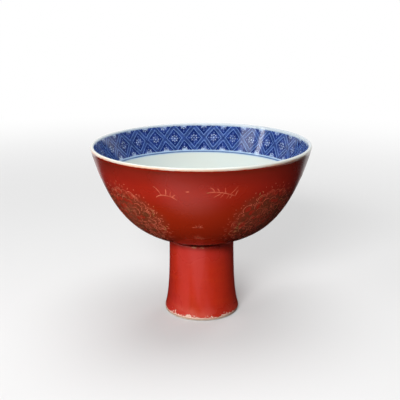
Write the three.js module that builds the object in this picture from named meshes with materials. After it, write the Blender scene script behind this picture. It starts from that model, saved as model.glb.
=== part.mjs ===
// Stem bowl: a thrown porcelain bowl, luted with slip on a hollow flared stem.
// Coral enamel covers the outside, and clear glaze covers the lip, the inside and the hollow stem.
// Millimetres, +Z up. The origin is the centre of the bare ring that the foot stands on.
import * as THREE from "three";

// Bowl
const RIM_RADIUS = 90; // finished, at the widest point of the lip
const BOWL_HEIGHT = 78.6; // from the luting pad to the top of the lip
const LIP_THICKNESS = 3;
const LIP_LEAN = 15.3; // degrees that the wall leans out at the lip
const WALL_FULLNESS = 0.865; // share of the height over which the lip's slope pulls the wall
const UNDERSIDE_RISE = 16.7; // degrees, where the underside leaves the joint
const UNDERSIDE_PULL = 19.5; // length over which that slope pulls the underside
const FLOOR_THICKNESS = 7; // at the middle
const FLOOR_SPREAD = 44; // radius over which the level floor pulls the inside
const INSIDE_FULLNESS = 0.82; // as the wall's, for the inside

// Stem
const STEM_HEIGHT = 63.5; // to the flat that carries the slip
const STEM_TOP_RADIUS = 27; // finished
const STEM_FLARE_PULL = 54.9; // length over which the straight top pulls the flare
const STEM_WALL = 4.6; // at the top
const SHOULDER_RADIUS = 1.2; // the rounded top edge
const SHOULDER_COVER = 65; // degrees of that edge that the enamel wraps
const FOOT_RADIUS = 31.7; // finished, at the widest point
const FOOT_RING_WIDTH = 5.4; // of the body, at the bottom
const FOOT_EDGE_RADIUS = 1.4; // both lower edges of the ring
const FOOT_PULL = 4; // length over which the foot stands upright
const BARE_FOOT = 3; // height that the coats stop above the ground

// Slip that lutes the bowl on the stem
const SLIP_THICKNESS = 2.2;
const SLIP_RECESS = 0.5; // from the stem's flat edge to the slip's outside
const SLIP_WAIST = 0.5; // depth that a finger drew the outside in
const SLIP_FILLET = 1.6; // reach of the slip along the bowl's underside, inside the stem

// Coats, both of one thickness, with the room that each keeps from the body
const COAT_THICKNESS = 0.4;
const COAT_CLEARANCE = 0.1;
const LIP_DROP = 1.7; // from the rounding of the lip down to the clear glaze's lower edge
const COAT_SEAM = 0.3; // between the clear glaze and the enamel below the lip

// Steps of each curve and round the axis
const ROUND_STEPS = 48;
const WALL_STEPS = 10;
const INSIDE_STEPS = 10;
const LIP_STEPS = 5;
const FLARE_STEPS = 6;
const EDGE_STEPS = 3;
const AXIS_REACH = 1e-3; // a point nearer to the axis than this lies on it

const COAT = COAT_THICKNESS + COAT_CLEARANCE;
const PAD_HEIGHT = STEM_HEIGHT + SLIP_THICKNESS;
const { degToRad } = THREE.MathUtils;
const at = (radius, height) => new THREE.Vector2(radius, height);
const arc = (centre, radius, from, to) =>
  new THREE.EllipseCurve(
    centre.x,
    centre.y,
    radius,
    radius,
    degToRad(from),
    degToRad(to),
    to < from,
  );

// A run is a list of points on a profile, each with the normal that leaves the body there.
// Every profile goes round its body with the outside on the right hand.
function run(curve, steps, from = 0, to = curve.getLength()) {
  const length = curve.getLength();
  return Array.from({ length: steps + 1 }, (_, step) => {
    const share = THREE.MathUtils.lerp(from, to, step / steps) / length;
    const along = curve.getTangentAt(share);
    return { point: curve.getPointAt(share), normal: at(along.y, -along.x) };
  });
}

const joined = (...runs) =>
  runs.flatMap((points, index) => (index ? points.slice(1) : points));

const raised = (points, depth) =>
  points.map(({ point, normal }) =>
    at(Math.max(0, point.x + normal.x * depth), point.y + normal.y * depth),
  );

const onAxis = (point) => point.x < AXIS_REACH;

// A coat lies along a run of its body, off it by the clearance.
function coatProfile(points) {
  const outer = raised(points, COAT);
  const inner = raised(points, COAT_CLEARANCE).reverse();
  if (onAxis(outer.at(-1))) return [...inner, ...outer];
  if (onAxis(outer[0])) return [...outer, ...inner];
  return [...outer, ...inner, outer[0]];
}

function turned(name, profile, material) {
  const geometry = new THREE.LatheGeometry(profile, ROUND_STEPS);
  geometry.rotateX(Math.PI / 2);
  const mesh = new THREE.Mesh(geometry, material);
  mesh.name = name;
  return mesh;
}

// Profile of the bowl's body: underside, wall, lip and inside
const lean = degToRad(LIP_LEAN);
const wallUp = at(Math.sin(lean), Math.cos(lean));
const wallOut = at(Math.cos(lean), -Math.sin(lean));
const lipRadius = LIP_THICKNESS / 2 - COAT;
const lipCentre = at(
  RIM_RADIUS - LIP_THICKNESS / 2,
  PAD_HEIGHT + BOWL_HEIGHT - LIP_THICKNESS / 2,
);
const wallTop = lipCentre.clone().addScaledVector(wallOut, lipRadius);
const insideTop = lipCentre.clone().addScaledVector(wallOut, -lipRadius);
const padEdge = at(STEM_TOP_RADIUS - COAT, PAD_HEIGHT);
const rise = degToRad(UNDERSIDE_RISE);
const wall = new THREE.CubicBezierCurve(
  padEdge,
  padEdge.clone().add(at(Math.cos(rise), Math.sin(rise)).multiplyScalar(UNDERSIDE_PULL)),
  wallTop.clone().addScaledVector(wallUp, -WALL_FULLNESS * BOWL_HEIGHT),
  wallTop,
);
const floorHeight = PAD_HEIGHT + FLOOR_THICKNESS - COAT;
const inside = new THREE.CubicBezierCurve(
  insideTop,
  insideTop.clone().addScaledVector(wallUp, -INSIDE_FULLNESS * BOWL_HEIGHT),
  at(FLOOR_SPREAD, floorHeight),
  at(0, floorHeight),
);
const glazeEdge = wall.getLength() - LIP_DROP;
const enamelEdge = glazeEdge - COAT_SEAM;
const wallEnamelled = run(wall, WALL_STEPS, 0, enamelEdge);
const wallSeam = run(wall, 1, enamelEdge, glazeEdge);
const wallGlazed = run(wall, 1, glazeEdge);
const lip = run(arc(lipCentre, lipRadius, -LIP_LEAN, 180 - LIP_LEAN), LIP_STEPS);
const insideGlazed = run(inside, INSIDE_STEPS);
const bowlRun = joined(wallEnamelled, wallSeam, wallGlazed, lip, insideGlazed);

// Profile of the stem's body: foot edge, flare, shoulder, flat top and hollow
const footRadius = FOOT_RADIUS - COAT;
const topRadius = STEM_TOP_RADIUS - COAT;
const hollowTop = STEM_TOP_RADIUS - STEM_WALL;
const hollowFoot = footRadius - FOOT_RING_WIDTH;
const shoulderHeight = STEM_HEIGHT - SHOULDER_RADIUS;
const footEdge = arc(
  at(footRadius - FOOT_EDGE_RADIUS, FOOT_EDGE_RADIUS),
  FOOT_EDGE_RADIUS,
  -90,
  0,
);
const flare = new THREE.CubicBezierCurve(
  at(footRadius, FOOT_EDGE_RADIUS),
  at(footRadius, FOOT_EDGE_RADIUS + FOOT_PULL),
  at(topRadius, shoulderHeight - STEM_FLARE_PULL),
  at(topRadius, shoulderHeight),
);
const shoulderCentre = at(topRadius - SHOULDER_RADIUS, shoulderHeight);
const hollow = new THREE.CubicBezierCurve(
  at(hollowTop, STEM_HEIGHT),
  at(hollowTop, STEM_HEIGHT - STEM_FLARE_PULL),
  at(hollowFoot, FOOT_EDGE_RADIUS + FOOT_PULL),
  at(hollowFoot, FOOT_EDGE_RADIUS),
);
const hollowEdge = arc(
  at(hollowFoot + FOOT_EDGE_RADIUS, FOOT_EDGE_RADIUS),
  FOOT_EDGE_RADIUS,
  180,
  270,
);
const bareFlare = BARE_FOOT - FOOT_EDGE_RADIUS;
const bareHollow = hollow.getLength() - bareFlare;
const flareBare = run(flare, 1, 0, bareFlare);
const flareEnamelled = run(flare, FLARE_STEPS, bareFlare);
const shoulderCovered = run(
  arc(shoulderCentre, SHOULDER_RADIUS, 0, SHOULDER_COVER),
  EDGE_STEPS,
);
const shoulderBare = run(arc(shoulderCentre, SHOULDER_RADIUS, SHOULDER_COVER, 90), 1);
const hollowGlazed = run(hollow, FLARE_STEPS, 0, bareHollow);
const hollowBare = run(hollow, 1, bareHollow);

// Profile of the slip: a drawn-in outside, and inside a fillet up to the bowl's underside
const slipOuter = shoulderCentre.x - SLIP_RECESS;
const slipWaist = new THREE.QuadraticBezierCurve(
  at(slipOuter, STEM_HEIGHT),
  at(slipOuter - 2 * SLIP_WAIST, STEM_HEIGHT + SLIP_THICKNESS / 2),
  at(slipOuter, PAD_HEIGHT),
);
const slipFillet = new THREE.QuadraticBezierCurve(
  at(hollowTop - SLIP_FILLET, PAD_HEIGHT),
  at(hollowTop, PAD_HEIGHT),
  at(hollowTop, STEM_HEIGHT),
);
const underside = new THREE.LineCurve(at(0, PAD_HEIGHT), at(hollowTop - SLIP_FILLET, PAD_HEIGHT));
const filletRun = run(slipFillet, EDGE_STEPS);

const porcelain = new THREE.MeshStandardMaterial({ color: "#e9e4da", roughness: 0.75 });
const slip = new THREE.MeshStandardMaterial({ color: "#cdbfae", roughness: 0.85 });
const coral = new THREE.MeshStandardMaterial({ color: "#b5382a", roughness: 0.3 });
const clear = new THREE.MeshStandardMaterial({ color: "#e4ebe8", roughness: 0.12 });

function bowlBody() {
  const profile = [at(0, PAD_HEIGHT), ...raised(bowlRun, 0)];
  return turned("bowl_body", profile, porcelain);
}

function bowlEnamel() {
  return turned("bowl_coral_enamel", coatProfile(wallEnamelled), coral);
}

function bowlGlaze() {
  const glazed = joined(wallGlazed, lip, insideGlazed);
  return turned("bowl_glaze_lining", coatProfile(glazed), clear);
}

function stemBody() {
  const outside = joined(
    run(footEdge, EDGE_STEPS),
    flareBare,
    flareEnamelled,
    shoulderCovered,
    shoulderBare,
  );
  const inner = joined(hollowGlazed, hollowBare, run(hollowEdge, EDGE_STEPS));
  const profile = raised([...outside, ...inner], 0);
  return turned("stem_body", [...profile, profile[0]], porcelain);
}

function stemEnamel() {
  const covered = joined(flareEnamelled, shoulderCovered);
  return turned("stem_coral_enamel", coatProfile(covered), coral);
}

function stemGlaze() {
  const lined = joined(run(underside, 1), filletRun, hollowGlazed);
  return turned("stem_glaze_lining", coatProfile(lined), clear);
}

function lutingSlip() {
  const profile = raised([...run(slipWaist, EDGE_STEPS), ...filletRun], 0);
  return turned("luting_slip", [...profile, profile[0]], slip);
}

const stemBowl = new THREE.Group();
stemBowl.add(
  bowlBody(),
  bowlEnamel(),
  bowlGlaze(),
  stemBody(),
  stemEnamel(),
  stemGlaze(),
  lutingSlip(),
);

export default stemBowl;
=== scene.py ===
import cmath
import math
import random

import bmesh
import bpy
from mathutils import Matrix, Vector


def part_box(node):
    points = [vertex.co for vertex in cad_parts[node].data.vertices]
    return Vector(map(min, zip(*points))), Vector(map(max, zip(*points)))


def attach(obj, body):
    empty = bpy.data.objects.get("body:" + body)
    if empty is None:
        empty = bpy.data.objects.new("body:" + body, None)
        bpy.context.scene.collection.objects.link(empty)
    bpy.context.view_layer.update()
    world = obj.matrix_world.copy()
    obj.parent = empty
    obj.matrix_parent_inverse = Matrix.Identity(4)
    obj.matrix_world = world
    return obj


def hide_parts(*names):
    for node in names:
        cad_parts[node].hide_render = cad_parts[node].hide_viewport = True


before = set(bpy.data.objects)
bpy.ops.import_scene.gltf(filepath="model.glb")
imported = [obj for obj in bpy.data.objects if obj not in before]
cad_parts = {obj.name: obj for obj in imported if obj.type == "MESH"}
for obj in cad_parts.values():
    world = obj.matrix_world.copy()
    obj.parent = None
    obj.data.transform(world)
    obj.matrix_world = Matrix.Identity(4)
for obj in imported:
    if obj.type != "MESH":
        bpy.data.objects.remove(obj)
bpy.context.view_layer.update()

bl_info = {
    "name": "Stem Bowl",
    "version": (1, 1, 0),
    "blender": (4, 5, 0),
    "location": "3D View > Sidebar > Stem Bowl",
    "description": "A porcelain stem bowl with coral enamel, worn gilding and a blue diaper border",
    "category": "Object",
}

MM = 0.001
CURVE_SAMPLES = 400
WELD = 1e-6  # points nearer than this are one

# Sizes read from the frame
LINING_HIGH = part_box("bowl_glaze_lining")[1]
SLIP_LOW, SLIP_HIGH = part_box("luting_slip")
STEM_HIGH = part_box("stem_body")[1]

# The profile, as the solids have it, but for a closer seam between the enamel and the clear glaze
COAT = 0.5 * MM
LIP_LEAN = 15.3
WALL_FULLNESS = 0.865
UNDERSIDE_RISE = 16.7
UNDERSIDE_PULL = 19.5 * MM
FLOOR_RISE = 6.5 * MM
FLOOR_SPREAD = 44 * MM
INSIDE_FULLNESS = 0.82
LIP_DROP = 1.7 * MM
COAT_SEAM = 0.06 * MM
STEM_WALL = 4.6 * MM
STEM_FLARE_PULL = 54.9 * MM
SHOULDER_RADIUS = 1.2 * MM
SHOULDER_COVER = 65
FOOT_RING_WIDTH = 5.4 * MM
FOOT_EDGE = 1.4 * MM
FOOT_PULL = 4 * MM
BARE_FOOT = 3 * MM
SLIP_RECESS = 0.5 * MM
SLIP_WAIST = 0.5 * MM
SLIP_FILLET = 1.6 * MM

# Steps along each run
WALL_STEPS = 90
FLARE_STEPS = 60
HOLLOW_STEPS = 40
LIP_STEPS = 14
EDGE_STEPS = 8
COVERED_STEPS = 6
FLAT_STEPS = 4
CREASE = 40  # degrees between two faces, past which their edge is drawn sharp


def distance(name, description, default):
    return bpy.props.FloatProperty(
        name=name, description=description, default=default, subtype="DISTANCE",
    )


def count(name, description, default, least=1):
    return bpy.props.IntProperty(name=name, description=description, default=default, min=least)


def tint(name, description, default):
    return bpy.props.FloatVectorProperty(
        name=name, description=description, default=default, subtype="COLOR", size=3,
    )


class StemBowlSizes(bpy.types.PropertyGroup):
    """The sizes of the bowl, its stem and its painting."""

    rim_radius: distance("Rim radius", "To the widest point of the lip", LINING_HIGH[0])
    height: distance("Height", "From the foot to the top of the lip", LINING_HIGH[2])
    pad_height: distance("Pad height", "Where the bowl sits on its slip", SLIP_HIGH[2])
    stem_height: distance("Stem height", "To the flat that carries the slip", SLIP_LOW[2])
    stem_radius: distance("Stem radius", "Of the enamelled stem, at its top", 27 * MM)
    foot_radius: distance("Foot radius", "Of the enamelled foot, at its widest", STEM_HIGH[0] + COAT)
    lip: distance("Lip", "Thickness of the finished lip", 3 * MM)
    steps: count("Steps", "Faces of a turned piece round its axis", 256, least=16)
    lean: distance("Lean", "How far the lip has drifted to one side of the foot", 0.65 * MM)
    tilt: distance("Tilt", "How much higher the lip is on one side", 0.5 * MM)
    wobble: bpy.props.FloatProperty(
        name="Wobble", description="Share by which the radius of the throwing varies",
        default=0.004, subtype="FACTOR",
    )
    border_top: distance("Border top", "From the top of the lip down to the blue", 2.2 * MM)
    border_depth: distance("Border depth", "Height of the band of diamonds", 20.7 * MM)
    diamonds: count("Diamonds", "Diamonds of the border round the bowl", 29)
    blooms: count("Blooms", "Gilt lotus blooms round the bowl", 4)
    bloom_radius: distance("Bloom radius", "To the tips of the outer petals", 29.5 * MM)
    bloom_drop: distance("Bloom drop", "From the lip down the wall to the middle of a bloom", 48.5 * MM)
    bloom_turn: bpy.props.FloatProperty(
        name="Bloom turn", description="Where the first bloom stands round the bowl",
        default=math.radians(42), subtype="ANGLE",
    )
    line_width: distance("Line width", "Of a gilt line", 0.74 * MM)
    line_lift: distance("Line lift", "How far a gilt line stands proud of the enamel", 0.06 * MM)
    seed: count("Seed", "Of the painter's unevenness", 11)


class StemBowlColours(bpy.types.PropertyGroup):
    """The colours of the coats, the painting and the body."""

    coral: tint("Coral", "The enamel outside", (0.53, 0.026, 0.009))
    glaze: tint("Glaze", "Clear glaze over the porcelain", (0.57, 0.635, 0.61))
    cobalt: tint("Cobalt", "The ground of the border", (0.0045, 0.016, 0.112))
    wash: tint("Wash", "Thin cobalt between the diamonds", (0.021, 0.050, 0.240))
    reserve: tint("Reserve", "Pale lines left in the cobalt", (0.145, 0.235, 0.56))
    gilt: tint("Gilt", "Gold that is left on the enamel", (0.70, 0.38, 0.14))
    ghost: tint("Ghost", "The pale mark where gold has rubbed away", (0.70, 0.155, 0.088))
    biscuit: tint("Biscuit", "Bare porcelain at the foot", (0.86, 0.74, 0.62))


# Profiles

def bezier(a, b, c, d):
    """The point of a cubic curve at a share of its parameter."""
    def point(t):
        s = 1 - t
        return a * s ** 3 + b * (3 * s * s * t) + c * (3 * s * t * t) + d * t ** 3
    return point


def bend(a, b, c):
    """The point of a curve with one control point."""
    return bezier(a, a.lerp(b, 2 / 3), c.lerp(b, 2 / 3), c)


def arc(centre, radius, start, stop):
    """The point of an arc, from one angle in degrees to another."""
    def point(t):
        angle = math.radians(start + (stop - start) * t)
        return centre + Vector((math.cos(angle), math.sin(angle))) * radius
    return point


def line(a, b):
    return lambda t: a.lerp(b, t)


def reaches(curve):
    """Samples of a curve, and the length along it to each."""
    points = [curve(i / CURVE_SAMPLES) for i in range(CURVE_SAMPLES + 1)]
    reach = [0.0]
    for a, b in zip(points, points[1:]):
        reach.append(reach[-1] + (b - a).length)
    return points, reach


def length_of(curve):
    return reaches(curve)[1][-1]


def run(curve, steps, start=0.0, stop=None):
    """Evenly spaced points of a curve, each with the normal on its right hand."""
    points, reach = reaches(curve)
    stop = reach[-1] if stop is None else stop
    found, index = [], 0
    for step in range(steps + 1):
        wanted = start + (stop - start) * step / steps
        while index < CURVE_SAMPLES - 1 and reach[index + 1] < wanted:
            index += 1
        a, b = points[index], points[index + 1]
        along = (b - a).normalized()
        share = (wanted - reach[index]) / max(reach[index + 1] - reach[index], WELD * WELD)
        found.append((a.lerp(b, share), Vector((along.y, -along.x))))
    return found


def joined(*runs):
    return [point for i, points in enumerate(runs) for point in (points[1:] if i else points)]


def raised(points, depth):
    return [point + normal * depth for point, normal in points]


def coat_profile(points):
    """Round a coat: back along the porcelain, then out along its face."""
    return raised(points, 0)[::-1] + raised(points, COAT)


def bowl_runs(sizes):
    """The runs of the bowl that its body and its coats share."""
    lean = math.radians(LIP_LEAN)
    up = Vector((math.sin(lean), math.cos(lean)))
    out = Vector((math.cos(lean), -math.sin(lean)))
    lip_radius = sizes.lip / 2 - COAT
    lip_centre = Vector((sizes.rim_radius - sizes.lip / 2, sizes.height - sizes.lip / 2))
    bowl_height = sizes.height - sizes.pad_height
    wall_top = lip_centre + out * lip_radius
    inside_top = lip_centre - out * lip_radius
    pad_edge = Vector((sizes.stem_radius - COAT, sizes.pad_height))
    rise = math.radians(UNDERSIDE_RISE)
    wall = bezier(
        pad_edge,
        pad_edge + Vector((math.cos(rise), math.sin(rise))) * UNDERSIDE_PULL,
        wall_top - up * WALL_FULLNESS * bowl_height,
        wall_top,
    )
    floor = sizes.pad_height + FLOOR_RISE
    inside = bezier(
        inside_top,
        inside_top - up * INSIDE_FULLNESS * bowl_height,
        Vector((FLOOR_SPREAD, floor)),
        Vector((0, floor)),
    )
    glaze_edge = length_of(wall) - LIP_DROP
    return {
        "pad": run(line(Vector((0, sizes.pad_height)), pad_edge), FLAT_STEPS),
        "wall": run(wall, WALL_STEPS),
        "wall_enamelled": run(wall, WALL_STEPS, 0, glaze_edge - COAT_SEAM),
        "wall_glazed": run(wall, FLAT_STEPS, glaze_edge),
        "lip": run(arc(lip_centre, lip_radius, -LIP_LEAN, 180 - LIP_LEAN), LIP_STEPS),
        "inside": run(inside, WALL_STEPS),
    }


def stem_runs(sizes):
    """The runs of the stem and the slip that their bodies and coats share."""
    foot = sizes.foot_radius - COAT
    top = sizes.stem_radius - COAT
    hollow_top = sizes.stem_radius - STEM_WALL
    hollow_foot = foot - FOOT_RING_WIDTH
    shoulder = sizes.stem_height - SHOULDER_RADIUS
    flare = bezier(
        Vector((foot, FOOT_EDGE)),
        Vector((foot, FOOT_EDGE + FOOT_PULL)),
        Vector((top, shoulder - STEM_FLARE_PULL)),
        Vector((top, shoulder)),
    )
    hollow = bezier(
        Vector((hollow_top, sizes.stem_height)),
        Vector((hollow_top, sizes.stem_height - STEM_FLARE_PULL)),
        Vector((hollow_foot, FOOT_EDGE + FOOT_PULL)),
        Vector((hollow_foot, FOOT_EDGE)),
    )
    edge = Vector((hollow_foot + FOOT_EDGE, FOOT_EDGE))
    bare = BARE_FOOT - FOOT_EDGE
    corner = Vector((top - SHOULDER_RADIUS, shoulder))
    slip_low = Vector((corner.x - SLIP_RECESS, sizes.stem_height))
    slip_high = Vector((corner.x - SLIP_RECESS, sizes.pad_height))
    slip_middle = (slip_low + slip_high) / 2 - Vector((2 * SLIP_WAIST, 0))
    fillet_top = Vector((hollow_top - SLIP_FILLET, sizes.pad_height))
    fillet_corner = Vector((hollow_top, sizes.pad_height))
    fillet_foot = Vector((hollow_top, sizes.stem_height))
    return {
        "foot_edge": run(arc(Vector((foot - FOOT_EDGE, FOOT_EDGE)), FOOT_EDGE, -90, 0), EDGE_STEPS),
        "flare": run(flare, FLARE_STEPS),
        "flare_enamelled": run(flare, FLARE_STEPS, bare),
        "shoulder": run(arc(corner, SHOULDER_RADIUS, 0, 90), EDGE_STEPS),
        "shoulder_covered": run(arc(corner, SHOULDER_RADIUS, 0, SHOULDER_COVER), COVERED_STEPS),
        "hollow": run(hollow, HOLLOW_STEPS),
        "hollow_glazed": run(hollow, HOLLOW_STEPS, 0, length_of(hollow) - bare),
        "hollow_edge": run(arc(edge, FOOT_EDGE, 180, 270), EDGE_STEPS),
        "slip_waist": run(bend(slip_low, slip_middle, slip_high), EDGE_STEPS),
        "slip_fillet": run(bend(fillet_top, fillet_corner, fillet_foot), EDGE_STEPS),
        "ceiling": run(line(Vector((0, sizes.pad_height)), fillet_top), COVERED_STEPS),
    }


# Nodes

def feed(place, value):
    """Link a value to an input socket, or set the socket's own value."""
    if isinstance(value, Value):
        value = value.socket
    if isinstance(value, bpy.types.NodeSocket):
        place.id_data.links.new(value, place)
    elif place.type == "RGBA" and len(value) == 3:
        place.default_value = (*value, 1)
    else:
        place.default_value = value


class Value:
    """A socket whose operators add Math nodes."""

    def __init__(self, socket):
        self.socket = socket

    def math(self, operation, *others):
        node = self.socket.id_data.nodes.new("ShaderNodeMath")
        node.operation = operation
        for place, value in zip(node.inputs, (self, *others)):
            feed(place, value)
        return Value(node.outputs[0])

    def __add__(self, other):
        return self.math("ADD", other)

    __radd__ = __add__

    def __mul__(self, other):
        return self.math("MULTIPLY", other)

    __rmul__ = __mul__

    def __sub__(self, other):
        return self.math("SUBTRACT", other)

    def __rsub__(self, other):
        return self * -1 + other

    def __truediv__(self, other):
        return self.math("DIVIDE", other)

    def __abs__(self):
        return self.math("ABSOLUTE")

    def fract(self):
        return self.math("FRACT")

    def max(self, other):
        return self.math("MAXIMUM", other)

    def min(self, other):
        return self.math("MINIMUM", other)

    def root(self):
        return self.math("SQRT")


def slant(across, up):
    """The length that runs this far across and this far up."""
    return (across * across + up * up).root()


class Nodes:
    """The nodes of one tree."""

    def __init__(self, tree):
        self.tree = tree

    def node(self, kind, settings=None, inputs=None):
        """Add a node: its settings first, then the values or links of its inputs."""
        made = self.tree.nodes.new(kind)
        for key, value in (settings or {}).items():
            setattr(made, key, value)
        for key, value in (inputs or {}).items():
            feed(made.inputs[key], value)
        return made

    def first(self, kind, settings=None, inputs=None):
        """What a new node gives from its first output."""
        return self.node(kind, settings, inputs).outputs[0]

    def split(self, vector):
        """The three parts of a vector."""
        return [Value(out) for out in self.node("ShaderNodeSeparateXYZ", None, {0: vector}).outputs]

    def vector(self, x=0.0, y=0.0, z=0.0):
        return self.first("ShaderNodeCombineXYZ", None, {0: x, 1: y, 2: z})

    def ramp(self, value, low, high):
        """Rises smoothly from 0 at low to 1 at high, which may be the smaller."""
        settings = {"interpolation_type": "SMOOTHSTEP"}
        return Value(self.first("ShaderNodeMapRange", settings, {0: value, 1: low, 2: high}))

    def near(self, value, centre, half, soft):
        """1 within half of the centre, and 0 past the soft edge outside it."""
        return self.ramp(abs(value - centre), half + soft, half)


class Finish(Nodes):
    """A material, the nodes of its tree, and the colour that it has so far."""

    def __init__(self, name, colour=None, roughness=0.5, specular=0.5):
        self.colour = colour
        self.material = bpy.data.materials.new(name)
        self.material.use_nodes = True
        super().__init__(self.material.node_tree)
        self.shader = self.tree.nodes["Principled BSDF"]
        self.place = self.node("ShaderNodeTexCoord").outputs["Object"]
        self.x, self.y, self.z = self.split(self.place)
        self.set("Roughness", roughness)
        self.set("Specular IOR Level", specular)

    def set(self, name, value):
        feed(self.shader.inputs[name], value)

    def noise(self, scale, detail=3.0, stretch=None, other=0.0):
        """Noise over Object coordinates; each value of other gives another field."""
        place = self.place
        if stretch:
            place = self.first("ShaderNodeMapping", None, {"Vector": place, "Scale": stretch})
        inputs = {"Vector": place, "W": other, "Scale": scale, "Detail": detail}
        return Value(self.first("ShaderNodeTexNoise", {"noise_dimensions": "4D"}, inputs))

    def patches(self, low, high, scale, detail=3.0, other=0.0):
        """Noise made patchy, from 0 at low to 1 at high."""
        return self.ramp(self.noise(scale, detail, other=other), low, high)

    def reach(self):
        """How far a point is from the axis."""
        return slant(self.x, self.y)

    def mix(self, share, first, second):
        inputs = {0: share, 6: first, 7: second}
        return self.node("ShaderNodeMix", {"data_type": "RGBA"}, inputs).outputs[2]

    def lay(self, share, colour):
        """Lay a colour over what is there, by its share of the surface."""
        self.colour = self.mix(share, self.colour, colour)

    def done(self):
        self.set("Base Color", self.colour)
        return self.material

    def bump(self, height, distance):
        inputs = {"Height": height, "Distance": distance}
        self.set("Normal", self.first("ShaderNodeBump", None, inputs))


class Recipe(Nodes):
    """A Geometry Nodes tree with named inputs, from geometry to geometry."""

    def __init__(self, name, **inputs):
        super().__init__(bpy.data.node_groups.new(name, "GeometryNodeTree"))
        self.socket("Geometry", "Geometry", "OUTPUT")
        self.socket("Geometry", "Geometry", "INPUT")
        for key, kind in inputs.items():
            self.socket(key, kind, "INPUT")
        self.given = self.node("NodeGroupInput").outputs
        self.result = self.node("NodeGroupOutput").inputs[0]

    def socket(self, name, kind, side):
        self.tree.interface.new_socket(name, in_out=side, socket_type="NodeSocket" + kind)

    def value(self, name):
        return Value(self.given[name])

    def moved(self, geometry, **inputs):
        return self.first("GeometryNodeSetPosition", None, {"Geometry": geometry, **inputs})

    def end(self, geometry):
        """Give the geometry its material, and end the tree."""
        inputs = {"Geometry": geometry, "Material": self.given["Material"]}
        feed(self.result, self.first("GeometryNodeSetMaterial", None, inputs))

    def make(self, source, name, **values):
        """Run the recipe on a source object, and keep what it makes as a plain mesh."""
        modifier = source.modifiers.new("recipe", "NODES")
        modifier.node_group = self.tree
        for item in self.tree.interface.items_tree:
            if item.name in values and item.in_out == "INPUT":
                modifier[item.identifier] = values[item.name]
        graph = bpy.context.evaluated_depsgraph_get()
        mesh = bpy.data.meshes.new_from_object(source.evaluated_get(graph))
        source.modifiers.remove(modifier)
        bpy.data.objects.remove(source)
        mesh.name = name
        shape = bmesh.new()
        shape.from_mesh(mesh)
        bmesh.ops.recalc_face_normals(shape, faces=shape.faces)
        shape.to_mesh(mesh)
        shape.free()
        return linked(bpy.data.objects.new(name, mesh))


def linked(made):
    bpy.context.scene.collection.objects.link(made)
    return made


def outline(name, points):
    """A mesh of points alone, each (radius, height), to be turned or followed."""
    mesh = bpy.data.meshes.new(name)
    edges = [(i, i + 1) for i in range(len(points) - 1)]
    mesh.from_pydata([(max(0, p.x), 0, p.y) for p in points], edges, [])
    return linked(bpy.data.objects.new(name, mesh))


# Geometry Nodes trees

HAND = dict.fromkeys(("Height", "Lean", "Tilt", "Wobble"), "Float")  # inputs that every tree has
THROWING_RINGS = 14.0  # scale of the swells that the potter's hands left


def uneven_tree():
    """How a thrown and fired pot departs from a true figure of revolution."""
    recipe = Recipe("uneven", **HAND)
    place = recipe.first("GeometryNodeInputPosition")
    x, y, z = recipe.split(place)
    inputs = {"Vector": place, "Scale": THROWING_RINGS, "Detail": 1.0}
    noise = Value(recipe.first("ShaderNodeTexNoise", None, inputs))
    swell = (noise - 0.5) * recipe.value("Wobble") * 2
    climb = z / recipe.value("Height")
    spread = recipe.vector(
        x * swell - climb * recipe.value("Lean"),
        y * swell,
        x * climb * climb * recipe.value("Tilt") / LINING_HIGH[0],
    )
    feed(recipe.result, recipe.moved(recipe.given[0], Offset=spread))
    return recipe


def uneven(recipe, geometry, tree):
    """Add the uneven tree as a group, with this recipe's own inputs of the same names."""
    inputs = {0: geometry} | {name: recipe.given[name] for name in HAND}
    return recipe.first("GeometryNodeGroup", {"node_tree": tree.tree}, inputs)


def turning_tree(unevenness):
    """Turn an outline round the axis, close it, and finish it."""
    recipe = Recipe("turning", Steps="Int", Material="Material", **HAND)
    size = recipe.node("GeometryNodeAttributeDomainSize", None, {0: recipe.given[0]})
    ring = recipe.value("Steps") + 1
    counts = {"Vertices X": size.outputs["Point Count"], "Vertices Y": ring}
    sheet = recipe.first("GeometryNodeMeshGrid", None, counts)
    index = Value(recipe.first("GeometryNodeInputIndex"))
    along = (index / ring).math("FLOOR")
    turn = (index - along * ring) / recipe.value("Steps") * math.tau
    point = recipe.first(
        "GeometryNodeSampleIndex", {"data_type": "FLOAT_VECTOR", "domain": "POINT"},
        {"Geometry": recipe.given[0], "Index": along,
         "Value": recipe.first("GeometryNodeInputPosition")},
    )
    radius, _, height = recipe.split(point)
    place = recipe.vector(radius * turn.math("COSINE"), radius * turn.math("SINE"), height)
    turned_sheet = {"Geometry": recipe.moved(sheet, Position=place), "Distance": WELD * 5}
    thrown = uneven(recipe, recipe.first("GeometryNodeMergeByDistance", None, turned_sheet), unevenness)
    smooth = recipe.first("GeometryNodeSetShadeSmooth", None, {"Geometry": thrown})
    angle = Value(recipe.first("GeometryNodeInputMeshEdgeAngle"))
    sharp = angle.math("GREATER_THAN", math.radians(CREASE))
    recipe.end(recipe.first(
        "GeometryNodeSetShadeSmooth", {"domain": "EDGE"},
        {"Geometry": smooth, "Selection": sharp, "Shade Smooth": False},
    ))
    return recipe


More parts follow.
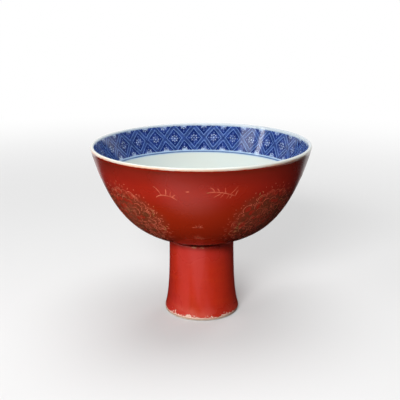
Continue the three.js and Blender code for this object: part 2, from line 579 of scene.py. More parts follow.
def wrapping_tree(unevenness):
    """Lay a flat painting on the wall, and repeat it round the bowl.

    A point of the painting is (round the bowl, up the wall from the joint, out of the wall).
    """
    recipe = Recipe(
        "wrapping", Profile="Object", Repeats="Int", Turn="Float", Material="Material", **HAND
    )
    across, up, out = recipe.split(recipe.first("GeometryNodeInputPosition"))
    wall = recipe.node("GeometryNodeObjectInfo", None, {"Object": recipe.given["Profile"]})
    curve = recipe.first("GeometryNodeMeshToCurve", None, {0: wall.outputs["Geometry"]})
    sample = recipe.node(
        "GeometryNodeSampleCurve", {"mode": "LENGTH"}, {"Curves": curve, "Length": up}
    )
    radius, _, height = recipe.split(sample.outputs["Position"])
    run_out, _, run_up = recipe.split(sample.outputs["Tangent"])
    reach = radius + run_up * out
    turn = across / radius
    place = recipe.vector(
        reach * turn.math("SINE"), reach * turn.math("COSINE") * -1, height - run_out * out
    )
    laid = recipe.moved(recipe.given[0], Position=place)
    spots = recipe.first("GeometryNodePoints", None, {"Count": recipe.given["Repeats"]})
    index = Value(recipe.first("GeometryNodeInputIndex"))
    spin = index / recipe.value("Repeats") * math.tau + recipe.value("Turn")
    copies = recipe.first(
        "GeometryNodeInstanceOnPoints", None,
        {"Points": spots, "Instance": laid, "Rotation": recipe.vector(0.0, 0.0, spin)},
    )
    real = recipe.first("GeometryNodeRealizeInstances", None, {0: copies})
    recipe.end(uneven(recipe, real, unevenness))
    return recipe


def hand_values(sizes):
    """What the inputs that every tree has are set to."""
    return {name: getattr(sizes, name.lower()) for name in HAND}


# Gilt painting, in metres on a flat sheet; a place there is the complex number across + up * 1j

class Painting:
    """Thin raised bands on a flat sheet."""

    def __init__(self, seed, width, lift):
        self.chance = random.Random(seed)
        self.width, self.lift = width, lift
        self.vertices, self.faces = [], []

    def shake(self, amount):
        return self.chance.uniform(-amount, amount)

    def band(self, path, halves, columns):
        """A closed band along a path: pointed ends, and a crown over its half widths."""
        rings = []
        for i, (place, half) in enumerate(zip(path, halves)):
            ahead = path[min(i + 1, len(path) - 1)] - path[max(i - 1, 0)]
            side = ahead / abs(ahead) * 1j
            if half <= 0:
                rings.append([self.vertex(place, 0)])
                continue
            ring = [self.vertex(place - side * half, -self.lift / 4)]
            for column in range(columns):
                share = 2 * (column + 1) / (columns + 1) - 1
                ring.append(self.vertex(place + side * half * share, self.lift * (1 - share ** 4)))
            ring.append(self.vertex(place + side * half, -self.lift / 4))
            ring.append(self.vertex(place, -self.lift))
            rings.append(ring)
        for low, high in zip(rings, rings[1:]):
            for step in range(columns + 3):
                after = (step + 1) % (columns + 3)
                face = [low[step % len(low)], low[after % len(low)],
                        high[after % len(high)], high[step % len(high)]]
                self.faces.append(list(dict.fromkeys(face)))

    def vertex(self, place, out):
        self.vertices.append((place.real, place.imag, out))
        return len(self.vertices) - 1

    def stroke(self, path, width=1.0):
        """A brush line that swells in its middle."""
        last = len(path) - 1
        half = self.width * width / 2 * (1 + self.shake(0.2))
        halves = [half * math.sin(math.pi * i / last) ** 0.35 if 0 < i < last else 0
                  for i in range(last + 1)]
        self.band(path, halves, 1)

    def frayed(self, path, width=1.0):
        """A brush line that has rubbed away in part, or all of it."""
        last = len(path) - 1
        start = self.chance.choice((0, 0, 1, last // 4))
        stop = last - self.chance.choice((0, 0, 1, last // 3))
        if self.chance.random() < 0.86 and stop - start > 2:
            self.stroke(path[start:stop + 1], width)

    def patch(self, path, halves):
        """A filled petal or leaf."""
        self.band(path, [0, *halves[1:-1], 0], 5)

    def object(self, name):
        mesh = bpy.data.meshes.new(name)
        mesh.from_pydata(self.vertices, [], self.faces)
        return linked(bpy.data.objects.new(name, mesh))


def sweep(steps, *controls):
    """Places along a curve with two, three or four control places."""
    points = [Vector((c.real, c.imag)) for c in controls]
    curve = {2: line, 3: bend, 4: bezier}[len(points)](*points)
    return [complex(*curve(i / steps)) for i in range(steps + 1)]


def placed(path, centre, heading):
    return [centre + place * heading for place in path]


def curl(painting, centre, heading, size, side):
    """A hook that winds in on itself."""
    path = [
        size * (1 - 0.75 * t) * cmath.exp(1j * side * 4.6 * t) - size
        for t in (i / 14 for i in range(15))
    ]
    painting.stroke(placed(path, centre, heading), 0.8)


def arch(inner, outer, half):
    """A round topped arch, drawn in one stroke from foot to foot."""
    shoulder = inner + (outer - inner) * 0.45
    path = [complex(inner, -half * 0.5)]
    for i in range(13):
        angle = math.pi * (i / 12 - 0.5)
        path.append(complex(shoulder + (outer - shoulder) * math.cos(angle), half * math.sin(angle)))
    return [*path, complex(inner, half * 0.5)]


def petal(lines, fills, centre, angle, inner, outer, half):
    """A petal: an arch within an arch, three veins and a wash of gold."""
    heading = cmath.exp(1j * (angle + lines.shake(0.07)))
    outer += lines.shake(1.5 * MM)
    half *= 1 + lines.shake(0.14)
    length = outer - inner
    lines.frayed(placed(arch(inner, outer, half), centre, heading), 1.2)
    if lines.chance.random() < 0.7:
        small = arch(inner + length * 0.3, outer - 1.4 * MM, half - 1.2 * MM)
        lines.frayed(placed(small, centre, heading), 0.75)
    for way in (-1, 0, 1):
        foot = inner + length * 0.1 + way * half * 0.18j
        top = inner + length * (0.62 - 0.08 * abs(way)) + way * half * 0.42j
        lines.frayed(placed(sweep(7, foot, top), centre, heading), 0.8)
    if fills.chance.random() < 0.6:
        steps = 9
        path = sweep(steps, complex(inner + length * 0.10), complex(outer - 1.6 * MM))
        halves = [(half - 0.9 * MM) * math.sin(math.pi * i / steps) ** 0.7 for i in range(steps + 1)]
        fills.patch(placed(path, centre, heading), halves)


TIERS = (
    # petals, where they start and end as shares of the bloom's radius, and their turn
    (7, 0.13, 0.33, 0.0),
    (12, 0.30, 0.53, 0.5),
    (17, 0.50, 0.75, 0.1),
    (23, 0.71, 0.97, 0.4),
)


def bloom(lines, fills, centre, radius):
    """A lotus bloom seen from above: a seed pod in tiers of petals, with rays outside."""
    pod = radius * 0.11
    lines.stroke([centre + pod * cmath.exp(1j * math.tau * i / 20) for i in range(21)])
    for i in range(5):
        seed = centre + pod * 0.5 * cmath.exp(1j * math.tau * i / 5)
        lines.stroke(sweep(4, seed, seed + 0.8 * MM), 0.9)
    for count, inner, outer, phase in TIERS:
        half = math.pi * radius * (inner + outer) / 2 / count * 1.04
        for i in range(count):
            angle = math.tau * (i + phase) / count
            petal(lines, fills, centre, angle, inner * radius, outer * radius, half)
    for i in range(23):
        angle = math.tau * (i + 0.9) / 23
        heading = cmath.exp(1j * angle)
        side = 1 if i % 2 else -1
        curl(lines, centre + radius * 0.95 * heading, heading, 1.7 * MM, side)
        tip = centre + radius * 1.12 * heading
        lines.stroke(sweep(4, tip, tip + heading * 1.3 * MM), 1.5)
        for way in (-1, 1):
            spread = cmath.exp(1j * (angle + way * 0.075))
            turned = spread * cmath.exp(1j * way * 0.5)
            foot = centre + spread * radius * 1.0
            lines.frayed(sweep(6, foot, foot + (spread + turned) * 1.1 * MM, foot + turned * 3.4 * MM), 1.1)


# Twigs of water weed, stroke by stroke, in millimetres from the end of the stem
REED = (
    ((0, -2.4), (3.5, 1.2), (8, 1.6), (15.5, -1.6)),
    ((5, 0.6), (4.6, 5.2), (0.8, 8)),
    ((8.6, 0.6), (10.2, 3.4), (10.4, 6.4)),
    ((12, -0.2), (12.4, 2.4), (14.2, 4.4)),
    ((13.4, -0.8), (14.6, 0.8), (16.6, 1.6)),
    ((12.6, -0.6), (14.6, -1.8), (16.4, -3.4)),
)
WEED = (
    ((0, 1), (6, 2.8), (13, 1.6), (23, -2.6)),
    ((6, 2), (5.2, 5), (1.8, 5.8)),
    ((9.5, 1.8), (9, 3.8), (7.4, 5)),
    ((15, 0.4), (13.6, 3), (13.4, 5.6)),
    ((18.5, -0.8), (21, 2), (23.2, 6.6)),
    ((23, -2.6), (22.6, 0.2), (24, 2.8)),
    ((12, 1.4), (10, -0.8), (6.5, -3)),
    ((14, 0.8), (12.6, -1.4), (11.6, -4)),
    ((17.6, -0.6), (17.4, -2.4), (16.4, -4.6)),
    ((20, -1.2), (19.8, -2.8), (18.8, -4.6)),
)


def twig(lines, start, strokes):
    """A twig, with its stem thicker than its leaves."""
    for i, controls in enumerate(strokes):
        path = sweep(8 if i else 20, *(start + complex(*place) * MM for place in controls))
        lines.stroke(path, 1.15 if i else 1.35)


def bud(lines, fills, centre, size, heading):
    """A small bud of five strokes over a short stem."""
    for i in range(-2, 3):
        turn = cmath.exp(1j * (math.pi / 2 + i * 0.5))
        path = sweep(6, 0.15 * size * turn, size * turn * cmath.exp(0.2j * i))
        lines.stroke(placed(path, centre, heading), 0.85)
    path = sweep(6, complex(0, -0.1 * size), complex(0, 0.75 * size))
    halves = [0.22 * size * math.sin(math.pi * i / 6) for i in range(7)]
    fills.patch(placed(path, centre, heading), halves)


def vine(lines, fills, height, length, waves):
    """A waved stem along the foot of the wall, with a leaf and a curl in each bend."""
    steps = 16 * waves
    path = []
    for i in range(steps + 1):
        share = i / steps
        swing = 2.6 * MM * math.sin(math.tau * waves * share)
        path.append(complex((share - 0.5) * length, height + swing))
    lines.stroke(path, 0.9)
    for bend_index in range(2 * waves):
        side = 1 if bend_index % 2 == 0 else -1
        foot = path[8 * bend_index + 4]
        curl(lines, foot, complex(0, side), 2.2 * MM, side)
        leaf = sweep(7, foot, foot + complex(2.5, -side * 2.0) * MM, foot + complex(6.5, -side * 4.0) * MM)
        halves = [1.2 * MM * math.sin(math.pi * i / 7) for i in range(8)]
        fills.patch(leaf, halves)
        lines.stroke([place + 0.2j * MM for place in leaf], 0.5)


# Buds below the twigs: the bloom they are nearer to, how far they are from the middle between
# two blooms and from the lip, their size and their turn in radians
BUDS = (
    (-1, 4 * MM, 52 * MM, 4.5 * MM, 0.0),
    (1, -9 * MM, 66 * MM, 3.5 * MM, 0.5),
    (-1, 13 * MM, 68 * MM, 3.5 * MM, -0.5),
)


def gilt_painting(sizes, wall_length):
    """One repeat of the painting: a bloom, and the twigs and buds to its next neighbour."""
    lines = Painting(sizes.seed, sizes.line_width, sizes.line_lift)
    fills = Painting(sizes.seed, sizes.line_width, sizes.line_lift * 0.6)
    centre = complex(0, wall_length - sizes.bloom_drop)
    bloom(lines, fills, centre, sizes.bloom_radius)
    # The middle between this bloom and the next, at the height of the twigs and of the buds
    gap = math.pi / sizes.blooms * (sizes.rim_radius - 5.5 * MM)
    low_gap = math.pi / sizes.blooms * (sizes.rim_radius - 17 * MM)
    twig(lines, complex(gap - 31.5 * MM, wall_length - 20.5 * MM), REED)
    twig(lines, complex(8 * MM - gap, wall_length - 18 * MM), WEED)
    dash = complex(gap - 6.5 * MM, wall_length - 16 * MM)
    lines.stroke(sweep(5, dash, dash + complex(2.8, 0.4) * MM), 1.3)
    for side, across, drop, size, turn in BUDS:
        centre = complex(side * low_gap + across, wall_length - drop)
        bud(lines, fills, centre, size, cmath.exp(1j * turn))
    vine(lines, fills, 17 * MM, math.tau / sizes.blooms * 40 * MM, 2)
    return lines.object("gilt_lines"), fills.object("gilt_fills")


# Materials

CHIPPED_REACH = 4.4 * MM  # from the bare ring up to the last chip
MID_BORDER = 5.5 * MM  # from the rim in to the middle of the border
FIRST_DIAMOND = 0.40  # share of a diamond that the border is turned by


def shaded(colour, *shares):
    """A colour, each part times its share."""
    return tuple(part * share for part, share in zip(colour, shares))


def paler(colour, *more):
    """A colour with something added to each part."""
    return tuple(part + extra for part, extra in zip(colour, more))


def chips(finish):
    """Where the enamel has flaked from the foot: dense at the bare ring, and rarer higher up."""
    climb = (finish.z - BARE_FOOT * 0.5) / CHIPPED_REACH
    flakes = finish.noise(800.0, 2.0) + finish.noise(110.0, 2.0, other=4.0)
    return finish.ramp(flakes - climb.max(0.0) * 0.38, 0.86, 0.90) * finish.ramp(climb, 1.3, 0.9)


def bloom_stain(finish, sizes):
    """Where the gold of a bloom has gone dull and darkened the enamel round it."""
    face = raised(bowl_runs(sizes)["wall_enamelled"], COAT)
    reach = sizes.bloom_drop
    while reach > 0:
        middle = face.pop()
        reach -= (middle - face[-1]).length
    turn = finish.x.math("ARCTAN2", finish.y * -1) - sizes.bloom_turn
    slot = (turn * (sizes.blooms / math.tau) + 0.5).fract() - 0.5
    across = slot * (math.tau / sizes.blooms * middle.x)
    up = (finish.z - middle.y) * 1.25
    away = slant(across, up) + (finish.noise(60.0, other=8.0) - 0.5) * 22 * MM
    return finish.ramp(away, sizes.bloom_radius * 1.2, sizes.bloom_radius * 0.65) * 0.58


def stem_streaks_and_sheen(finish, sizes, coral):
    """Rosier streaks down the stem, mostly left of its middle: partly where the brush went, partly a
    painted sheen.
    """
    strokes = finish.noise(75.0, stretch=(1.0, 1.0, 0.15), other=5.0)
    # Painted sheen: the rosy streaks are pushed up left of the stem's middle
    sheen_side = finish.near(finish.x, -7 * MM, 7 * MM, 9 * MM)
    streaks = finish.ramp(strokes + sheen_side * 0.16, 0.50, 0.66)
    stem = finish.ramp(finish.z, sizes.pad_height + 3 * MM, sizes.pad_height - 1 * MM)
    finish.lay(stem * streaks * 0.5, shaded(coral, 1.05, 1.8, 4.2))


def bowl_painted_shade_and_stain(finish, sizes, coral, deep, cloud):
    """Painted shade, deeper on the bowl than on the stem and toward its foot, and dark under the lip; and
    stained round the blooms.
    """
    bowl = finish.ramp(finish.z, sizes.pad_height - 1 * MM, sizes.pad_height + 3 * MM)
    low = finish.ramp(finish.z, sizes.height - 22 * MM, sizes.height - 40 * MM)
    # Painted shade: the bowl darker than the stem, and darker still toward its foot
    finish.lay(bowl * (low * 0.5 + 0.65), deep)
    finish.lay(bowl * low * 0.6, shaded(deep, 1.0, 1.5, 0.2))
    finish.lay(bowl * bloom_stain(finish, sizes), (0.155, 0.060, 0.028))
    dark = shaded(coral, 0.42, 0.6, 0.9)
    # Painted shade under the lip, more at the sides
    shade_under_lip = finish.ramp(finish.z, sizes.height - 21 * MM, sizes.height - 5 * MM)
    side_shade = finish.ramp(finish.x * finish.x, (28.3 * MM) ** 2, (69.3 * MM) ** 2)
    finish.lay(shade_under_lip * (finish.ramp(cloud, 0.3, 0.7) * 0.25 + side_shade * 0.10 + 0.65), dark)
    # Painted shade, darkest just under the lip
    edge = finish.ramp(finish.z, sizes.height - 8 * MM, sizes.height - 2.5 * MM)
    edge = edge * (finish.patches(0.35, 0.65, 55.0, other=2.0) * 0.25 + 0.32)
    finish.lay(edge, shaded(dark, 0.42, 0.9, 0.4))


def rubbed_enamel(finish, sizes, chipped):
    """Rubbed thin over the foot and on the shoulder of the stem, with a painted highlight where the
    shoulder faces forward, and chipped above the bare ring.
    """
    thin = finish.ramp(finish.z, 13 * MM, 6 * MM) * finish.patches(0.45, 0.60, 42.0, 2.0, other=6.0)
    finish.lay(thin * 0.32, (0.66, 0.15, 0.10))
    shoulder = finish.near(finish.z, sizes.stem_height - 0.7 * MM, 0.5 * MM, 0.4 * MM)
    # Painted highlight: the pale rubbing is pushed up on the forward side of the shoulder
    front_highlight = finish.near(finish.x, -3.5 * MM, 4 * MM, 3 * MM) * finish.ramp(finish.y, 0, -10 * MM)
    rubbed = shoulder * finish.ramp(finish.noise(420.0) + front_highlight * 0.16, 0.60, 0.78)
    finish.lay(rubbed * 0.75, (0.70, 0.34, 0.18))
    finish.lay(chipped * 0.95, (0.84, 0.58, 0.47))


def coral_enamel(sizes, colours):
    """Iron red enamel, brushed on: cloudy, a little pitted, rubbed at its edges, with painted shade and
    sheen.
    """
    coral = tuple(colours.coral)
    deep = shaded(coral, 0.72, 0.62, 0.75)
    warm = shaded(coral, 1.05, 1.45, 1.0)
    rose = shaded(coral, 1.0, 1.35, 3.6)
    rust = shaded(coral, 0.86, 1.1, 0.35)
    finish = Finish("coral_enamel", deep, specular=0.4)
    cloud = finish.noise(24.0, 4.0)
    brushed = finish.noise(30.0, 4.0, stretch=(1.0, 1.0, 9.0))
    grain = finish.noise(520.0, 2.0)
    chipped = chips(finish)
    finish.lay(finish.ramp(cloud, 0.28, 0.66), coral)
    finish.lay(finish.patches(0.40, 0.66, 14.0, 2.0, other=7.0) * 0.5, rose)
    finish.lay(finish.patches(0.50, 0.66, 19.0, other=9.0) * 0.5, rust)
    finish.lay(finish.ramp(brushed, 0.48, 0.75) * 0.5, warm)
    finish.lay(finish.ramp(grain, 0.56, 0.70) * 0.35, deep)
    stem_streaks_and_sheen(finish, sizes, coral)
    bowl_painted_shade_and_stain(finish, sizes, coral, deep, cloud)
    rubbed_enamel(finish, sizes, chipped)
    finish.set("Roughness", finish.ramp(cloud, 0.2, 0.8) * 0.10 + chipped * 0.3 + 0.22)
    finish.bump(brushed * 0.6 + grain * 0.25 - chipped * 0.8, 0.00009)
    return finish.done()


def clear_glaze(sizes, colours, name="clear_glaze", bordered=True):
    """Clear glaze on white porcelain, with the border painted under it."""
    glaze = tuple(colours.glaze)
    finish = Finish(name, glaze)
    cloud = finish.noise(20.0)
    finish.lay(finish.ramp(cloud, 0.35, 0.7), shaded(glaze, 1.03, 0.985, 0.95))
    if bordered:
        thin = finish.ramp(finish.z, sizes.height - sizes.border_top, sizes.height - 1.2 * MM)
        bled = finish.ramp(finish.reach(), sizes.rim_radius - 1.0 * MM, sizes.rim_radius - 2.0 * MM)
        finish.lay(thin, finish.mix(bled, (0.645, 0.665, 0.61), (0.50, 0.555, 0.60)))
        painted_border(finish, sizes, colours)
        lip_line(finish, sizes, tuple(colours.coral))
    finish.set("Roughness", finish.ramp(cloud, 0.2, 0.8) * 0.05 + 0.07)
    finish.bump(finish.noise(60.0, 2.0) + finish.noise(500.0, 1.0) * 0.13, 0.00006)
    return finish.done()


def dots(finish, reach, heading, count, ring, size):
    """Dots set evenly on a ring about the middle of a diamond."""
    slot = ((heading * (count / math.tau) + 0.5).fract() - 0.5) * (math.tau / count)
    gap = (reach * reach + ring * ring - reach * slot.math("COSINE") * (2 * ring)).max(0.0).root()
    return finish.ramp(gap, size + 0.35 * MM, size)


def diaper(finish, sizes, colours, turn, climb, worn):
    """Outlined diamonds side by side on mottled cobalt, with a floret of dots in each.

    Turn counts the diamonds round the bowl, and climb is -0.5 to 0.5 up the band.
    """
    cobalt, wash, reserve = (tuple(c) for c in (colours.cobalt, colours.wash, colours.reserve))
    pale = paler(reserve, 0.06, 0.13, 0.18)
    bright = paler(reserve, 0.27, 0.30, 0.16)
    side = abs((turn + 0.5).fract() - 0.5)
    rise = abs(climb)
    # Past the middle line between them, a point belongs to the half diamond at the edge
    other = finish.ramp(side + rise, 0.499, 0.501)
    side_in = side + other * (0.5 - side * 2)
    rise_in = rise + other * (0.5 - rise * 2)
    away = abs(side + rise - 0.5)
    across = side_in * (math.tau * (sizes.rim_radius - MID_BORDER) / sizes.diamonds)
    up = rise_in * sizes.border_depth
    reach = slant(across, up) + (finish.noise(700.0, 1.0) - 0.5) * 0.9 * MM
    heading = up.math("ARCTAN2", across)
    floret = dots(finish, reach, heading, 8, 2.4 * MM, 0.36 * MM)
    floret = floret.max(finish.ramp(reach, 0.85 * MM, 0.5 * MM))
    outer = dots(finish, reach, heading, 4, 4.6 * MM, 0.32 * MM)
    outer = outer.max(dots(finish, reach, heading, 8, 3.6 * MM, 0.12 * MM) * 0.6)
    halo = finish.ramp(reach, 4.4 * MM, 1.8 * MM)
    strip = finish.ramp(away, 0.105, 0.085)
    blotch = finish.patches(0.41, 0.62, 240.0)
    blotted = finish.patches(0.36, 0.62, 360.0, 2.0, other=5.0)
    # The half florets at both edges are left white
    white = finish.ramp(0.5 - rise, 0.075, 0.035) * finish.ramp(0.5 - side, 0.17, 0.08)
    blue = finish.mix(blotch * 0.64 + strip * 0.03, cobalt, wash)
    blue = finish.mix(halo * (blotch * 0.25 + 0.06), blue, reserve)
    blue = finish.mix(finish.near(away, 0.105, 0.006, 0.012) * (worn * 0.45 + 0.55), blue, pale)
    blue = finish.mix(finish.near(away, 0.042, 0.003, 0.010) * (worn * 0.25 + 0.28), blue, pale)
    blue = finish.mix(outer * 0.7, blue, reserve)
    blue = finish.mix(floret * (blotted * 0.78 + 0.14), blue, bright)
    return finish.mix(white * (blotted * 0.45 + 0.3), blue, bright)


def painted_border(finish, sizes, colours):
    """The band of diamonds under the lip, between a line above it and two below."""
    top = sizes.height - sizes.border_top
    foot = top - sizes.border_depth
    shake = (finish.noise(90.0, 2.0) - 0.5) * 0.10
    sway = (finish.noise(100.0, 2.0, other=3.0) - 0.5) * 0.10
    turn = finish.x.math("ARCTAN2", finish.y) * (sizes.diamonds / math.tau) + shake + FIRST_DIAMOND
    climb = (finish.z - (top + foot) / 2) / sizes.border_depth + sway
    worn = finish.patches(0.30, 0.55, 150.0, 2.0)
    blue = diaper(finish, sizes, colours, turn, climb, worn)
    inside = finish.ramp(finish.reach(), sizes.rim_radius - 2.0 * MM, sizes.rim_radius - 2.4 * MM)
    level = finish.z + (finish.noise(330.0, 2.0) - 0.5) * 0.9 * MM
    band = finish.ramp(level, foot - 0.5 * MM, foot - 0.25 * MM)
    band = band * finish.ramp(level, top + 0.25 * MM, top - 0.1 * MM) * inside
    halo_below = finish.near(finish.z, foot - 2.4 * MM, 0.3 * MM, 1.0 * MM)
    pale_line = finish.near(finish.z, foot - 0.95 * MM, 0.40 * MM, 0.3 * MM)
    thin_line = finish.near(finish.z, foot - 1.85 * MM, 0.34 * MM, 0.40 * MM)
    top_line = finish.near(finish.z, top + 0.30 * MM, 0.25 * MM, 0.35 * MM) * inside
    finish.lay(halo_below * 0.6, (0.38, 0.51, 0.66))
    finish.lay(pale_line * 0.85, (0.30, 0.45, 0.68))
    finish.lay(thin_line * (worn * 0.2 + 0.8), (0.075, 0.145, 0.31))
    finish.lay(top_line * 0.7, (0.20, 0.30, 0.46))
    finish.lay(band, blue)


def lip_line(finish, sizes, coral):
    """What is left of a gilt line round the lip's outer edge, and the red that overran it."""
    outside = finish.ramp(finish.reach(), sizes.rim_radius - 1.2 * MM, sizes.rim_radius - 0.7 * MM)
    level = finish.z + (finish.noise(180.0) - 0.5) * 0.9 * MM
    rubbed = finish.patches(0.38, 0.60, 70.0)
    gilt = finish.ramp(level, sizes.height - 0.5 * MM, sizes.height - 1.5 * MM)
    finish.lay(gilt * outside * (rubbed * 0.45 + 0.45), (0.76, 0.43, 0.28))
    red = finish.ramp(level, sizes.height - 2.0 * MM, sizes.height - 2.4 * MM)
    finish.lay(red * outside, shaded(coral, 0.5, 0.5, 0.5))


def biscuit(colours):
    """Bare porcelain: sandy, iron orange where the glaze stopped, with the red run over it."""
    bare, coral = tuple(colours.biscuit), tuple(colours.coral)
    finish = Finish("biscuit", bare, specular=0.3)
    grit = finish.noise(600.0)
    outside = finish.ramp(finish.reach(), STEM_HIGH[0] - 1.2 * MM, STEM_HIGH[0] - 0.6 * MM)
    ragged = finish.noise(330.0, other=1.0) - 0.5
    run_over = finish.ramp(finish.z + ragged * 3.4 * MM, 2.5 * MM, 2.8 * MM)
    run_over = run_over * outside * (1 - chips(finish))
    stopped = finish.near(finish.z + ragged * 1.0 * MM, 1.7 * MM, 0.25 * MM, 0.3 * MM)
    finish.lay(finish.patches(0.50, 0.75, 160.0), shaded(bare, 0.72, 0.58, 0.46))
    finish.lay(finish.ramp(finish.z, 1.7 * MM, 2.3 * MM) * outside, (0.84, 0.58, 0.47))
    finish.lay(stopped * 0.9, shaded(bare, 0.48, 0.28, 0.20))
    finish.lay(run_over, coral)
    finish.set("Roughness", grit * 0.2 + 0.6 - run_over * 0.35)
    finish.bump(grit, 0.00012)
    return finish.done()


def stained_slip(colours):
    """The slip in the joint, under the red that ran into it, and dark with the painted shade of its groove.
    """
    # Painted shade: the slip is near black red, as the shade in its groove
    under = shaded(colours.coral, 0.12, 0.15, 0.15)
    finish = Finish("stained_slip", under, roughness=0.45, specular=0.3)
    finish.lay(finish.patches(0.4, 0.7, 200.0), (0.12, 0.02, 0.01))
    finish.bump(finish.noise(500.0), 0.0001)
    return finish.done()


def worn_gilt(colours):
    """Gold over the enamel: some left, most rubbed to a pale mark, some gone."""
    finish = Finish("worn_gilt", tuple(colours.coral), specular=0.4)
    left = finish.patches(0.41, 0.31, 95.0, 4.0)
    mark = finish.patches(0.18, 0.44, 60.0, 4.0, other=1.0) * 0.95
    mark = mark * (finish.patches(0.32, 0.54, 240.0, 2.0, other=6.0) * 0.65 + 0.35)
    # The pale marks are made stronger toward the left (-x) of the bowl
    toward_left = finish.ramp(finish.x, 70 * MM, -40 * MM)
    mark = (mark * (toward_left * 0.5 + 0.64)).min(1.0)
    finish.lay(mark, tuple(colours.ghost))
    finish.lay(left, tuple(colours.gilt))
    finish.set("Metallic", left * 0.5)
    finish.set("Roughness", finish.noise(300.0) * 0.25 + 0.28)
    finish.bump(finish.noise(500.0, 2.0), 0.00004)
    return finish.done()


def gold_wash(colours):
    """The thin gold that filled the petals, gone to a dull olive brown."""
    finish = Finish("gold_wash", shaded(colours.coral, 0.8, 0.8, 0.8), specular=0.4)
    patch = finish.patches(0.42, 0.62, 75.0, 4.0, other=2.0)
    olive = finish.mix(finish.patches(0.4, 0.6, 140.0), (0.15, 0.05, 0.018), (0.12, 0.075, 0.025))
    finish.lay(patch * 0.65, olive)
    finish.set("Metallic", patch * 0.2)
    finish.set("Roughness", finish.noise(260.0) * 0.2 + 0.32)
    finish.bump(finish.noise(420.0, 2.0), 0.00005)
    return finish.done()


# Making the pieces

def given(context):
    """The sizes and the colours that the user has set."""
    return context.scene.stem_bowl_sizes, context.scene.stem_bowl_colours


def closed(points):
    return [*points, points[0]]


def turned(sizes, name, points, material, node, slot):
    """Turn an outline into a piece, and hand it to the frame in place of its solid."""
    recipe = turning_tree(uneven_tree())
    made = recipe.make(
        outline(name + "_outline", points), name, Steps=sizes.steps, Material=material,
        **hand_values(sizes),
    )
    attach(made, "root")
    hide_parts(node)


class STEMBOWL_OT_bodies(bpy.types.Operator):
    """Make the porcelain of the bowl and the stem, and the slip between them"""

    bl_idname = "stem_bowl.bodies"
    bl_label = "Porcelain bodies"

    def execute(self, context):
        sizes, colours = given(context)
        bowl, stem = bowl_runs(sizes), stem_runs(sizes)
        bare = biscuit(colours)
        body = raised(joined(bowl["pad"], bowl["wall"], bowl["lip"], bowl["inside"]), 0)
        turned(sizes, "bowl_porcelain", body, bare, "bowl_body", "porcelain_body")
        outside = joined(stem["foot_edge"], stem["flare"], stem["shoulder"])
        body = closed(raised(joined(outside, stem["hollow"], stem["hollow_edge"]), 0))
        turned(sizes, "stem_porcelain", body, bare, "stem_body", "porcelain_body")
        body = closed(raised([*stem["slip_waist"], *stem["slip_fillet"]], 0))
        turned(sizes, "joint_slip", body, stained_slip(colours), "luting_slip", "slip")
        return {"FINISHED"}


class STEMBOWL_OT_enamel(bpy.types.Operator):
    """Coat the outside of the bowl and the stem with coral enamel"""

    bl_idname = "stem_bowl.enamel"
    bl_label = "Coral enamel"

    def execute(self, context):
        sizes, colours = given(context)
        coral = coral_enamel(sizes, colours)
        coat = closed(coat_profile(bowl_runs(sizes)["wall_enamelled"]))
        turned(sizes, "bowl_enamel", coat, coral, "bowl_coral_enamel", "coral_enamel")
        stem = stem_runs(sizes)
        coat = closed(coat_profile(joined(stem["flare_enamelled"], stem["shoulder_covered"])))
        turned(sizes, "stem_enamel", coat, coral, "stem_coral_enamel", "coral_enamel")
        return {"FINISHED"}


class STEMBOWL_OT_glaze(bpy.types.Operator):
    """Glaze the lip, the inside with its blue border, and the hollow stem"""

    bl_idname = "stem_bowl.glaze"
    bl_label = "Clear glaze"

    def execute(self, context):
        sizes, colours = given(context)
        bowl, stem = bowl_runs(sizes), stem_runs(sizes)
        coat = coat_profile(joined(bowl["wall_glazed"], bowl["lip"], bowl["inside"]))
        clear = clear_glaze(sizes, colours)
        turned(sizes, "bowl_glaze", coat, clear, "bowl_glaze_lining", "clear_glaze")
        lined = joined(stem["ceiling"], stem["slip_fillet"], stem["hollow_glazed"])
        coat = raised(lined, COAT) + raised(lined, 0)[::-1]
        plain = clear_glaze(sizes, colours, "plain_glaze", False)
        turned(sizes, "stem_glaze", coat, plain, "stem_glaze_lining", "clear_glaze")
        return {"FINISHED"}


class STEMBOWL_OT_gilding(bpy.types.Operator):
    """Paint the gilt blooms, twigs and vine on the enamel"""

    bl_idname = "stem_bowl.gilding"
    bl_label = "Gilding"

    def execute(self, context):
        sizes, colours = given(context)
        face = raised(bowl_runs(sizes)["wall_enamelled"], COAT)
        wall_length = sum((b - a).length for a, b in zip(face, face[1:]))
        wall = outline("wall_face", face)
        recipe = wrapping_tree(uneven_tree())
        lines, fills = gilt_painting(sizes, wall_length)
        finishes = (
            (fills, "gilt_petals", gold_wash(colours)),
            (lines, "gilt_drawing", worn_gilt(colours)),
        )
        for sheet, name, material in finishes:
            made = recipe.make(
                sheet, name, Profile=wall, Repeats=sizes.blooms, Turn=sizes.bloom_turn,
                Material=material, **hand_values(sizes),
            )
            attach(made, "root")
        bpy.data.objects.remove(wall)
        return {"FINISHED"}


# The stage

LEVEL = math.pi ** 2  # watts at 1 m that light a surface facing the lamp at its own colour

LAMPS = (
    # name, round from the front in degrees, up in degrees, distance, width, height, level, mirrored
    ("key", -16, 28, 1.40, 0.55, 0.26, 0.95, False),
    ("low", -35, 4, 1.40, 0.60, 0.20, 0.05, True),
    ("window", -60, 19, 1.30, 0.40, 0.46, 0.115, True),
    ("strip", -79, 18, 1.20, 0.11, 0.38, 0.068, True),
    ("top", 180, 80, 1.20, 1.02, 1.02, 0.62, True),
    ("back", 150, 22, 1.60, 0.70, 0.70, 0.26, False),
)
DARK_BACK = 0.23  # metres behind the bowl, past which the floor that the glaze mirrors is white
AIM = Vector((0, 0, 0.08))  # where the lamps point
CAMERA_PLACE = (0, -0.6352, 0.2772)
CAMERA_DIP = 15.96  # degrees that it looks down
CAMERA_LENS = 71.4
CAMERA_SHIFT = -0.0045


def grey(level):
    return (level, level, level)


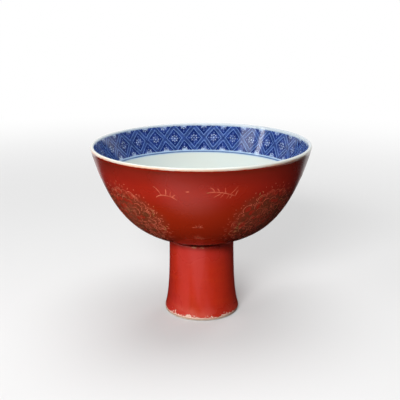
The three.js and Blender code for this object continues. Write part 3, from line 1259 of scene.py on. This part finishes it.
def studio_world():
    """White to the camera; paler behind the object than before it in what the glaze mirrors."""
    world = bpy.data.worlds.new("studio")
    world.use_nodes = True
    nodes = Nodes(world.node_tree)
    path = nodes.node("ShaderNodeLightPath").outputs
    seen, mirrored = Value(path["Is Camera Ray"]), Value(path["Is Glossy Ray"])
    _, behind, _ = nodes.split(nodes.node("ShaderNodeTexCoord").outputs["Generated"])
    back = nodes.ramp(behind, 0.1, 0.6) * 0.85 + 0.15
    strength = (1 - seen - mirrored) * 0.16 + seen + mirrored * back
    feed(world.node_tree.nodes["Background"].inputs["Color"], (1, 1, 1))
    feed(world.node_tree.nodes["Background"].inputs["Strength"], strength)
    return world


def pale_floor():
    """Pale to the camera, with the object's shadow, and white far off.

    The glaze mirrors it dark instead, with a painted glow before the bowl standing in for the key's light,
    and white behind it.
    """
    finish = Finish("pale_floor", roughness=0.7, specular=0.0)
    path = finish.node("ShaderNodeLightPath").outputs
    seen, mirrored = Value(path["Is Camera Ray"]), Value(path["Is Glossy Ray"])
    far = finish.ramp(finish.reach(), 0.28, 1.0)
    other = finish.mix(mirrored, grey(0.08), grey(0.012))
    lit = finish.mix(far, grey(0.60), grey(0.0))
    finish.colour = finish.mix(seen, other, lit)
    # Painted reflection: an emitting patch before the bowl that only the glaze's reflections see
    glow = finish.ramp(slant((finish.x + 0.045) / 0.125, (finish.y + 0.158) / 0.056), 1.1, 0.3)
    behind = finish.ramp(finish.y, DARK_BACK, DARK_BACK + 0.1)
    shine = finish.mix(mirrored * glow.max(behind), grey(0.0), grey(1.0))
    pale = finish.mix(far, grey(0.16), grey(1.0))
    finish.set("Emission Color", finish.mix(seen, shine, pale))
    finish.set("Emission Strength", 1.0)
    return finish.done()


class STEMBOWL_OT_stage(bpy.types.Operator):
    """Set the floor, the lamps and the camera"""

    bl_idname = "stem_bowl.stage"
    bl_label = "Stage"

    def execute(self, context):
        scene = context.scene
        scene.view_settings.view_transform = "Standard"
        bpy.ops.mesh.primitive_plane_add(size=12)
        floor = context.object
        floor.name = "floor"
        floor.data.materials.append(pale_floor())
        scene.world = studio_world()
        for name, turn, rise, away, width, height, level, mirrored in LAMPS:
            turn, rise = math.radians(turn), math.radians(rise)
            way = Vector((
                math.sin(turn) * math.cos(rise), -math.cos(turn) * math.cos(rise), math.sin(rise)
            ))
            lamp = bpy.data.lights.new(name, "AREA")
            shape = "ELLIPSE" if name == "top" else "RECTANGLE"
            lamp.shape, lamp.size, lamp.size_y = shape, width, height
            lamp.energy = level * LEVEL * away ** 2
            made = linked(bpy.data.objects.new(name, lamp))
            made.location = AIM + way * away
            made.rotation_euler = (-way).to_track_quat("-Z", "Y").to_euler()
            made.visible_glossy = mirrored
        camera = bpy.data.cameras.new("camera")
        camera.lens, camera.sensor_width = CAMERA_LENS, 36
        camera.shift_x = CAMERA_SHIFT
        made = linked(bpy.data.objects.new("camera", camera))
        made.location = CAMERA_PLACE
        made.rotation_euler = (math.radians(90 - CAMERA_DIP), 0, 0)
        scene.camera = made
        return {"FINISHED"}


class STEMBOWL_PT_panel(bpy.types.Panel):
    """Sizes, colours and steps of the stem bowl"""

    bl_idname = "STEMBOWL_PT_panel"
    bl_label = "Stem Bowl"
    bl_space_type = "VIEW_3D"
    bl_region_type = "UI"
    bl_category = "Stem Bowl"

    def draw(self, context):
        for group in (context.scene.stem_bowl_sizes, context.scene.stem_bowl_colours):
            for name in group.__annotations__:
                self.layout.prop(group, name)
        for operator in OPERATORS:
            self.layout.operator(operator.bl_idname)


OPERATORS = (
    STEMBOWL_OT_stage,
    STEMBOWL_OT_bodies,
    STEMBOWL_OT_enamel,
    STEMBOWL_OT_glaze,
    STEMBOWL_OT_gilding,
)
CLASSES = (StemBowlSizes, StemBowlColours, *OPERATORS, STEMBOWL_PT_panel)


def register():
    for cls in CLASSES:
        bpy.utils.register_class(cls)
    bpy.types.Scene.stem_bowl_sizes = bpy.props.PointerProperty(type=StemBowlSizes)
    bpy.types.Scene.stem_bowl_colours = bpy.props.PointerProperty(type=StemBowlColours)


def unregister():
    del bpy.types.Scene.stem_bowl_colours
    del bpy.types.Scene.stem_bowl_sizes
    for cls in reversed(CLASSES):
        bpy.utils.unregister_class(cls)


def main():
    register()
    bpy.ops.stem_bowl.stage()
    bpy.ops.stem_bowl.bodies()
    bpy.ops.stem_bowl.enamel()
    bpy.ops.stem_bowl.glaze()
    bpy.ops.stem_bowl.gilding()


if __name__ == "__main__":
    main()
